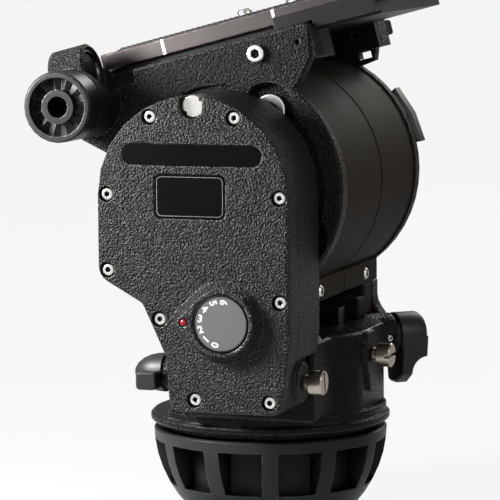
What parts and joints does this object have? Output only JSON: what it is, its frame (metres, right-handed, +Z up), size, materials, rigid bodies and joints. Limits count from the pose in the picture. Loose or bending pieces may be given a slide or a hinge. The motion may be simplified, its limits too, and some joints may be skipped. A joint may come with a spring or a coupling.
{
  "type": "fluid head",
  "caption": "Tripod fluid head: ball base, pan body with a side-mounted drag unit and a drum, and a tilting frame with a sliding camera plate.",
  "frame": {"origin": "on the pan axis, on the flat underside of the ball base", "axes": "+Z up along the pan axis, +X towards the end of the camera platform that is tilted up, +Y along the tilt axis, away from the side cover"},
  "size_m": [0.1425, 0.1878, 0.2304],
  "materials": {
    "ball_satin_black": "turned aluminium, satin black anodised, spherical band polished by use",
    "wrinkle_black_casting": "cast aluminium with black wrinkle paint",
    "smooth_brown_casting": "cast aluminium, smooth dark brown-grey",
    "brown_anodised": "milled aluminium, brown-grey anodised, satin",
    "black_anodised": "machined aluminium, black anodised",
    "black_plastic": "moulded black plastic, fine matt grain",
    "gloss_black_cap": "polished black plastic",
    "black_rubber": "ribbed black rubber",
    "dark_plate": "bare dark plate with a light border line",
    "grey_dial_face": "grey printed face with plain white numbers",
    "red_pointer": "red enamel",
    "nickel_screws": "nickel plated steel"
  },
  "bodies": {
    "base": {"ball_base": "ball_satin_black"},
    "pan_body": {"base_casting": "wrinkle_black_casting", "collar_set_screw": "nickel_screws", "side_housing": "wrinkle_black_casting", "side_cover": "wrinkle_black_casting", "cover_screw_1": "nickel_screws", "cover_screw_2": "nickel_screws", "cover_screw_3": "nickel_screws", "cover_screw_4": "nickel_screws", "cover_screw_5": "nickel_screws", "cover_screw_6": "nickel_screws", "cover_screw_7": "nickel_screws", "cover_screw_8": "nickel_screws", "cover_screw_9": "nickel_screws", "filler_plug": "nickel_screws", "name_plate": "dark_plate", "badge_plate": "dark_plate", "dial_pointer": "red_pointer", "drum_near": "smooth_brown_casting", "drum_far": "smooth_brown_casting", "drum_bolt_1": "nickel_screws", "drum_bolt_2": "nickel_screws", "drum_bolt_3": "nickel_screws", "drum_bolt_4": "nickel_screws", "drum_saddle": "smooth_brown_casting", "brake_block": "black_anodised", "shoulder_screw_near": "nickel_screws", "shoulder_screw_far": "nickel_screws"},
    "tilt_dial": {"tilt_dial": "black_plastic", "dial_face": "grey_dial_face"},
    "pan_dial": {"pan_dial": "black_plastic", "pan_dial_face": "grey_dial_face"},
    "pan_brake": {"pan_brake_knob": "black_plastic"},
    "tilt_brake": {"tilt_brake_knob": "black_plastic"},
    "tilt_frame": {"tilt_axle": "brown_anodised", "cheek_near": "wrinkle_black_casting", "cheek_far": "wrinkle_black_casting", "cheek_bolt_1": "nickel_screws", "cheek_bolt_2": "nickel_screws", "cheek_bolt_3": "nickel_screws", "cheek_bolt_4": "nickel_screws", "cap_screw_near": "nickel_screws", "cap_screw_far": "nickel_screws", "rosette_near": "black_anodised", "rosette_far": "black_anodised", "boss_cap_near": "gloss_black_cap", "boss_cap_far": "gloss_black_cap", "platform_guide": "wrinkle_black_casting", "clamp_rail": "black_anodised"},
    "balance_wheel": {"balance_wheel": "black_plastic"},
    "lock_lever": {"lock_lever": "black_plastic"},
    "camera_plate": {"camera_plate": "brown_anodised", "pad_near": "black_rubber", "pad_far": "black_rubber"},
    "camera_screw_1": {"camera_screw_1": "nickel_screws"},
    "camera_screw_2": {"camera_screw_2": "nickel_screws"}
  },
  "joints": [
    {"name": "pan", "type": "hinge", "parent": "base", "child": "pan_body", "pos_m": [0, 0, 0.038], "axis": [0, 0, 1], "continuous": true},
    {"name": "tilt", "type": "hinge", "parent": "pan_body", "child": "tilt_frame", "pos_m": [0, 0, 0.1444], "axis": [0, -1, 0], "range_deg": [-89.7, 75.3]},
    {"name": "plate_slide", "type": "slide", "parent": "tilt_frame", "child": "camera_plate", "axis": [0.9673, 0, 0.2538], "range_m": [-0.02, 0.04]},
    {"name": "tilt_drag_dial", "type": "hinge", "parent": "pan_body", "child": "tilt_dial", "pos_m": [0.0132, -0.0965, 0.0945], "axis": [0, -1, 0], "range_deg": [-75, 98]},
    {"name": "pan_drag_dial", "type": "hinge", "parent": "pan_body", "child": "pan_dial", "pos_m": [-0.0319, 0.004, 0.0636], "axis": [-1, 0, 0], "range_deg": [-75, 98]},
    {"name": "pan_brake_turn", "type": "hinge", "parent": "pan_body", "child": "pan_brake", "pos_m": [0.04607, 0.04149, 0.0726], "axis": [0.7431, 0.6691, 0], "range_deg": [-60, 60]},
    {"name": "tilt_brake_turn", "type": "hinge", "parent": "pan_body", "child": "tilt_brake", "pos_m": [-0.0396, -0.038, 0.0643], "axis": [1, 0, 0], "range_deg": [-60, 35]},
    {"name": "balance_turn", "type": "hinge", "parent": "tilt_frame", "child": "balance_wheel", "pos_m": [0, 0.0563, 0.1444], "axis": [0, 1, 0], "continuous": true},
    {"name": "lock_lever_swing", "type": "hinge", "parent": "tilt_frame", "child": "lock_lever", "pos_m": [0.01476, 0.0612, 0.20007], "axis": [-0.2538, 0, 0.9673], "range_deg": [0, 60]},
    {"name": "camera_screw_1_turn", "type": "hinge", "parent": "camera_plate", "child": "camera_screw_1", "pos_m": [0.0146, 0, 0.21486], "axis": [-0.2538, 0, 0.9673], "continuous": true},
    {"name": "camera_screw_2_turn", "type": "hinge", "parent": "camera_plate", "child": "camera_screw_2", "pos_m": [-0.00862, 0, 0.20877], "axis": [-0.2538, 0, 0.9673], "continuous": true}
  ]
}
